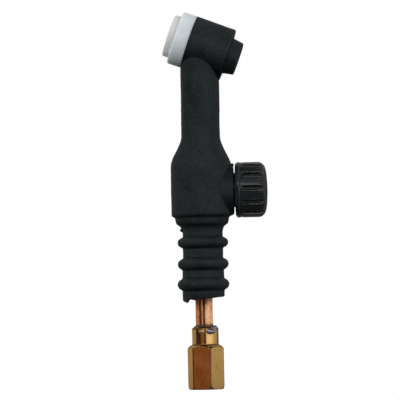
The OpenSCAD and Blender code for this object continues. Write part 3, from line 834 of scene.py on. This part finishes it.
def silver_part(p):
    """The bead that ran over the rim, and the bright metal joined to it."""
    x, y, z = p[..., 0], p[..., 1], p[..., 2]
    drip = (np.sqrt(((x - 2.1) / 2.0) ** 2 + ((y + 4.6) / 1.0) ** 2 + ((z - 22.5) / 1.1) ** 2) - 1) * 0.95
    run = np.sqrt(((x - 3.35) / 0.9) ** 2 + ((y + 4.1) / 0.5) ** 2 + ((z - 23.75) / 0.42) ** 2) * 0.42 - 0.42
    ridge = np.sqrt(((z - 24.15) / 0.42) ** 2 + ((y + 3.75 - 0.12 * (x - 3) ** 2) / 0.55) ** 2 + (np.maximum(np.abs(x - 3.5) - 0.8, 0) / 0.6) ** 2)
    ridge = (ridge - 1) * 0.42
    blob = np.sqrt(((x - 3.75) / 0.95) ** 2 + ((y + 0.9) / 1.1) ** 2 + ((z - 24.3) / 0.6) ** 2) * 0.6 - 0.6
    foot = np.sqrt(((x + 3.2) / 0.9) ** 2 + ((y + 1.5) / 0.8) ** 2 + ((z - 24.35) / 0.42) ** 2) * 0.42 - 0.42
    return smin(smin(drip, run, 0.45), smin(ridge, smin(blob, foot, 0.2), 0.35), 0.45)


def solder_field(p):
    x, y, z = p[..., 0], p[..., 1], p[..., 2]
    a, b = np.hypot(x - 1.45, y) - 1.74, np.hypot(x + 1.96, y) - 1.64
    film = 24.19 - z  # negative above the brass
    lift = waves(p, 1.6, 31)
    top = z - 24.25 - 0.05 * lift
    body = smin(top, np.minimum(a, b) - 0.02, 1.1)
    body = smax(body, z - 24.95 - 0.2 * lift - 0.22 * np.clip(x / 3, -1, 1), 0.2)
    body = smax(body, np.hypot((x + 0.1) / 1.12, y) - 3.45 - 0.35 * waves(p, 1.9, 32), 0.25)
    body = smin(body, silver_part(p), 0.4)
    body = body - 0.05 * waves(p, 3.4, 33)
    inside = smax(np.hypot(x, y) - 5.06, z - 24.12, 0.2)
    body = smax(body, -inside, 0.05)
    body = smax(body, -(np.minimum(a, b) + 0.03), 0.05)
    return np.maximum(body, film - 4)


SV, SQ = surface_of(solder_field, (-5.9, -6.3, 20.8), (5.9, 5.2, 26.4), 0.13 * COARSE)
me = bpy.data.meshes.new("solder_silver")
me.from_pydata((SV * MM).tolist(), [], SQ.tolist())
me.update()
me.shade_smooth()
wear_and_light_of(me)
# 1 on the film away from the bead: burnt soldering residue and painted shade
a = me.attributes.new("flux_and_shade", "FLOAT", "POINT")
a.data.foreach_set("value", smooth((silver_part(SV) - 0.12) / 0.35).astype(np.float32))
solder = make("solder_silver", me, SOLDER)
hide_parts("solder_fillet")
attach(solder, "torch_body")

# ---------------------------------------------------------------- knob


def knob():
    half = [1.5, 2.8, 3.7, 4.2, 4.55, 4.8, 5.0, 5.2, 5.45, 5.8, 6.3, 7.2, 8.6, 10.4, 12.6, 15.0]
    one = sorted([-v for v in half[:-1]] + [0.0] + half)
    psi = np.radians(np.concatenate([2 + 30 * k + np.array(one) for k in range(12)]))  # 0 towards -Y, rising towards +Z
    th = (-psi - math.pi / 2)[::-1]
    d = np.radians(np.tile(one, 12))[::-1]
    wide, land = 1.0, 10.76

    def radius(i, s, r, a):
        depth = 1.15 * smooth((s - 15.4) / 1.0)
        t = np.abs(land * np.sin(d)) / wide
        cut = land - depth * (1 - t**4) + 9 * np.maximum(t - 1, 0)
        if depth > 0:
            r = smin(r, cut, 0.16)
        # the lands between the grooves are a little hollow
        return r - 0.04 * smooth((s - 15.9) / 1.0) * smooth((24 - s) / 1.5) * np.cos(d * 12) ** 2

    outer = [[11.5, 2.4], [11.5, 6.35], [11.75, 6.7], [12.9, 6.72], [12.95, 7.2], [12.95, 9.9], [13.2, 10.35], [13.6, 10.68], [14.0, 10.82], [14.3, 10.85], [14.6, 10.8], [14.8, 10.69], [15.1, 10.62], [15.45, 10.64], [15.8, 10.71], [16.1, land]]
    outer = dense(outer, 0.35, 0.14)
    body = [[s, land] for s in np.arange(16.3, 21.9, 0.3)]
    end = [[22.0, land], [22.6, 10.7], [23.15, 10.45], [23.7, 10.05], [24.2, 9.52], [24.58, 8.85], [24.85, 8.0], [25.06, 7.0], [25.2, 6.0], [25.28, 5.2], [25.3, 4.75], [25.22, 4.6], [25.22, 4.45], [25.33, 4.3], [25.42, 3.2], [25.48, 1.8], [25.5, 0]]
    end = dense(end, 0.3, 0.12)
    rings = turned([[float(s), float(r)] for s, r in outer] + body + [[float(s), float(r)] for s, r in end], th, in_valve, radius)
    bore = turned([[22.0, 0], [22.0, 2.4], [16.0, 2.4], [11.5, 2.4]], th, in_valve)
    return loft("valve_knob_moulding", [(np.concatenate([bore, rings[1:]]), False)], KNOB, 40)


o = knob()
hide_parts("valve_knob")
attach(o, "knob")

# ---------------------------------------------------------------- head: gasket and brass block


def gasket():
    th = around(160)
    prof = [[4.12, 5.6], [4.12, 10.35], [4.25, 10.52], [9.4, 10.52], [9.7, 10.25], [9.7, 8.6], [9.82, 8.42], [12.2, 8.36], [12.42, 8.15], [12.42, 7.65], [12.2, 7.42], [8.8, 7.4], [8.8, 5.6]]
    ring = dense(prof + [prof[0]], 0.45, 0.14)[:-1]

    def radius(i, s, r, a):
        p = np.stack([np.cos(a) * 10, np.sin(a) * 10, np.full_like(a, s)], -1)
        return r + 0.02 * waves(p, 0.5, 41)

    o = loft("cup_gasket_ptfe", [(turned(ring, th, in_head, radius), True)], PTFE, 50)
    me = o.data
    co = np.zeros(len(me.vertices) * 3)
    me.vertices.foreach_get("co", co)
    co = co.reshape(-1, 3) / MM - [0, 0, HEAD_Z]
    a = me.attributes.new("thin", "FLOAT", "POINT")
    a.data.foreach_set("value", (0.9 * smooth((co @ U - 9.66) / 0.12)).astype(np.float32))
    return o


def block():
    th = around(144)
    p1 = p2 = 25.4 / 32
    prof, kind = [], []

    def add(points, k):
        for q in points:
            prof.append([float(q[0]), float(q[1])])
            kind.append(k)

    add(dense([[-15.8, 4.75], [-15.8, 5.45], [-15.65, 5.6], [-11.0, 5.6], [-11.0, 6.2], [4.1, 6.2], [4.1, 5.55], [8.4, 5.55], [8.6, 5.35], [8.6, 4.75]], 0.6, 0.08), 0)
    add([[s, 4.35] for s in np.arange(8.5, -0.95, -0.08)], 1)
    add([[s, 3.4] for s in np.arange(-1.0, -5.01, -0.1)], 0)
    add([[s, 4.35] for s in np.arange(-5.05, -15.75, -0.08)], 2)

    def radius(i, s, r, a):
        if kind[i] == 1:
            return thread(s, a, -1, 9.4, 4.35, 0.41, p1) + 0.4 * np.clip((s - 8.15) / 0.45, 0, 1)
        if kind[i] == 2:
            return thread(s, a, -16.6, -5, 4.35, 0.41, p2) + 0.4 * np.clip((-15.35 - s) / 0.45, 0, 1)
        return r

    main = turned(prof, th, in_head, radius)
    walls = np.array([r < 4.5 and -6 < s < 2 for s, r in prof])[:, None]  # the gas port, from the neck's bore into the passage
    port = walls & (np.hypot(main[:, :, 0], main[:, :, 1]) < 1.5) & (main[:, :, 2] < HEAD_Z - 2)
    main[:, :, 2] = np.where(port, 127.95, main[:, :, 2])
    neck = dense([[121.0 + 2.0, 3.62], [123.0, 4.6], [130.5, 4.6], [130.5, 1.5], [127.4, 1.5], [127.4, 3.62]], 0.8, 0.0)
    neck = turned(neck + [neck[0]], around(72), upright)[:-1]
    x, z = neck[:, :, 0], neck[:, :, 2]
    low = np.where(np.hypot(x, neck[:, :, 1]) > 4.5, 123.0, 127.4)
    lid = 128.9 - x * math.tan(TILT)  # its top stays inside the wall round the bores
    neck[:, :, 2] = np.where(z > low, low + (z - low) * (lid - low) / (130.5 - low), z)
    return loft("head_block_brass", [(main, True), (neck, True)], BRASS_TURNED, 35)


o = gasket()
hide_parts("cup_gasket")
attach(o, "torch_head")
o = block()
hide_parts("head_block")
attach(o, "torch_head")

# ---------------------------------------------------------------- CAD nodes that stay, inside the rubber

for name, material in (
    [("valve_body", BRASS_TURNED), ("valve_stem", BRASS_TURNED), ("stem_o_ring", SEAL), ("lower_ferrule", COPPER_INNER), ("upper_ferrule", COPPER_INNER)]
    + [(f"flex_link_{i}", COPPER_INNER) for i in range(1, 6)]
):
    me = nodes[name].data
    me.materials.clear()
    me.materials.append(material)

# ---------------------------------------------------------------- floor, light and camera

bpy.ops.mesh.primitive_plane_add(size=6, location=(0, 0, -0.3))
ground = bpy.context.object
ground.name = "ground"
g = Mat("ground_pale")
g.to("Base Color", g.ramp(g.noise(3, 2), [(0.4, (0.86, 0.865, 0.87)), (0.6, (0.88, 0.88, 0.88))]))
g.set(Roughness=0.8, Emission_Color=(1, 1, 1, 1), Emission_Strength=0.62)
ground.data.materials.append(g.m)
ground.visible_diffuse = False
ground.visible_glossy = False

world = bpy.data.worlds.new("studio")
bpy.context.scene.world = world
world.use_nodes = True
wt = world.node_tree
wt.nodes.clear()


def wnode(kind, **settings):
    n = wt.nodes.new(kind)
    for k, v in settings.items():
        setattr(n, k, v)
    return n


def wmath(op, a, b=None):
    n = wnode("ShaderNodeMath", operation=op)
    for i, v in enumerate((a, b)):
        if v is None:
            continue
        if isinstance(v, (int, float)):
            n.inputs[i].default_value = v
        else:
            wt.links.new(v, n.inputs[i])
    return n.outputs[0]


coord = wnode("ShaderNodeTexCoord")
sep = wnode("ShaderNodeSeparateXYZ")
wt.links.new(coord.outputs["Generated"], sep.inputs[0])
turn = wmath("ARCTAN2", sep.outputs["X"], wmath("MULTIPLY", sep.outputs["Y"], -1.0))  # 0 towards -Y, + towards +X
turn = wmath("ADD", wmath("DIVIDE", turn, TAU), 0.5)


def wramp(fac, stops):
    n = wnode("ShaderNodeValToRGB")
    e = n.color_ramp.elements
    while len(e) < len(stops):
        e.new(0.5)
    for s, (at, c) in zip(e, stops):
        s.position = at
        s.color = (*c, 1)
    wt.links.new(fac, n.inputs["Fac"])
    return n.outputs["Color"]


def grey(v):
    return (v, v, v)


BROWN = (0.235, 0.10, 0.066)
BLACK = (0.032, 0.021, 0.045)
GLOOM = (0.035, 0.012, 0.010)
walls = wramp(
    turn,
    [((a + 180) / 360, c) for a, c in [
        (-180, grey(0.05)), (-153, grey(0.42)), (-130, grey(0.41)), (-91, grey(0.36)), (-84, BLACK), (-41, BLACK), (-34, BROWN), (-24, BROWN), (-19, (0.33, 0.165, 0.11)), (-14, BROWN),
        (-8, GLOOM), (7, GLOOM), (11, grey(0.85)), (20, (1.05, 1.08, 1.30)), (44, (1.05, 1.08, 1.30)), (60, grey(1.05)), (78, grey(0.58)), (94, grey(0.48)), (114, grey(0.42)), (130, grey(0.24)), (150, grey(0.09)), (180, grey(0.05))]],
)
ABOVE = [(0.3, grey(0.42)), (0.6, grey(0.42)), (0.8, grey(0.30)), (0.972, grey(0.36)), (0.984, (0.18, 0.08, 0.055)), (1, (0.16, 0.07, 0.05))]
level = wmath("ADD", wmath("MULTIPLY", sep.outputs["Z"], 0.5), 0.5)
high = wramp(level, [((v + 1) / 2, c) for v, c in [(-1, grey(0.03)), (-0.5, grey(0.04)), (-0.15, grey(0.10)), (0, grey(0.30))] + ABOVE])
seen = wramp(level, [((v + 1) / 2, c) for v, c in [(-1, grey(0.07)), (-0.6, grey(0.15)), (-0.2, grey(0.17)), (0, grey(0.30))] + ABOVE])
path = wnode("ShaderNodeLightPath")
tops = wnode("ShaderNodeMix", data_type="RGBA", blend_type="MIX")  # bright things reflect the pale table, which hardly lights the undersides
wt.links.new(path.outputs["Is Glossy Ray"], tops.inputs[0])
wt.links.new(high, tops.inputs[6])
wt.links.new(seen, tops.inputs[7])
high = tops.outputs[2]
away = wnode("ShaderNodeMapRange", interpolation_type="SMOOTHSTEP")
away.inputs["From Min"].default_value = 0.13
away.inputs["From Max"].default_value = 0.36
wt.links.new(wmath("MAXIMUM", sep.outputs["Z"], wmath("MULTIPLY", sep.outputs["Z"], -1.7)), away.inputs["Value"])
mixw = wnode("ShaderNodeMix", data_type="RGBA", blend_type="MIX")
wt.links.new(away.outputs["Result"], mixw.inputs[0])
wt.links.new(walls, mixw.inputs[6])
wt.links.new(high, mixw.inputs[7])
lit = wnode("ShaderNodeBackground")
wt.links.new(mixw.outputs[2], lit.inputs["Color"])
lit.inputs["Strength"].default_value = 1.0
plain = wnode("ShaderNodeBackground")
plain.inputs["Color"].default_value = (1, 1, 1, 1)
plain.inputs["Strength"].default_value = 1.0
choose = wnode("ShaderNodeMixShader")
wt.links.new(path.outputs["Is Camera Ray"], choose.inputs[0])
wt.links.new(lit.outputs[0], choose.inputs[1])
wt.links.new(plain.outputs[0], choose.inputs[2])
wout = wnode("ShaderNodeOutputWorld")
wt.links.new(choose.outputs[0], wout.inputs["Surface"])

AIM = Vector((0, 0, 0.09))


def softbox(name, azimuth, elevation, distance, width, height, power, shiny=False):
    """azimuth is 0 in front and + to the viewer's right. shiny: it also shows in glossy surfaces."""
    a, e = math.radians(azimuth), math.radians(elevation)
    d = Vector((math.sin(a) * math.cos(e), -math.cos(a) * math.cos(e), math.sin(e)))
    light = bpy.data.lights.new(name, "AREA")
    light.shape = "RECTANGLE"
    light.size, light.size_y, light.energy = width, height, power
    o = bpy.data.objects.new(name, light)
    bpy.context.scene.collection.objects.link(o)
    o.location = AIM + d * distance
    o.rotation_mode = "QUATERNION"
    o.rotation_quaternion = d.to_track_quat("Z", "Y")
    o.visible_camera = False
    o.visible_glossy = shiny
    return o


softbox("front_high", -6, 22, 1.5, 1.3, 0.20, 3.0, shiny=True)
softbox("left_key", -72, 20, 1.5, 1.0, 1.0, 11.2)
softbox("front_fill", 38, 19, 1.5, 1.2, 0.7, 10.6)
softbox("back_fill", 150, 30, 1.6, 1.2, 1.2, 1.6)

camera = bpy.data.cameras.new("camera")
cam = bpy.data.objects.new("camera", camera)
bpy.context.scene.collection.objects.link(cam)
DIST, ROLL = 1.2, math.radians(1.249)
az, el = math.radians(2.0), math.radians(-2.0)
back = Vector((math.sin(az) * math.cos(el), -math.cos(az) * math.cos(el), math.sin(el)))
right = Vector((0, 0, 1)).cross(back).normalized()
up = back.cross(right)
r2 = right * math.cos(ROLL) - up * math.sin(ROLL)
u2 = right * math.sin(ROLL) + up * math.cos(ROLL)
target = Vector((-0.00093, 0, 0.0738))
m = Matrix.Identity(4)
for i in range(3):
    m[i][0], m[i][1], m[i][2], m[i][3] = r2[i], u2[i], back[i], (target + back * DIST)[i]
cam.matrix_world = m
camera.sensor_width = 36
camera.lens = 36 * DIST / 0.156
camera.clip_start, camera.clip_end = 0.05, 50
bpy.context.scene.camera = cam
bpy.context.scene.view_settings.view_transform = "Standard"
bpy.context.scene.view_settings.look = "None"
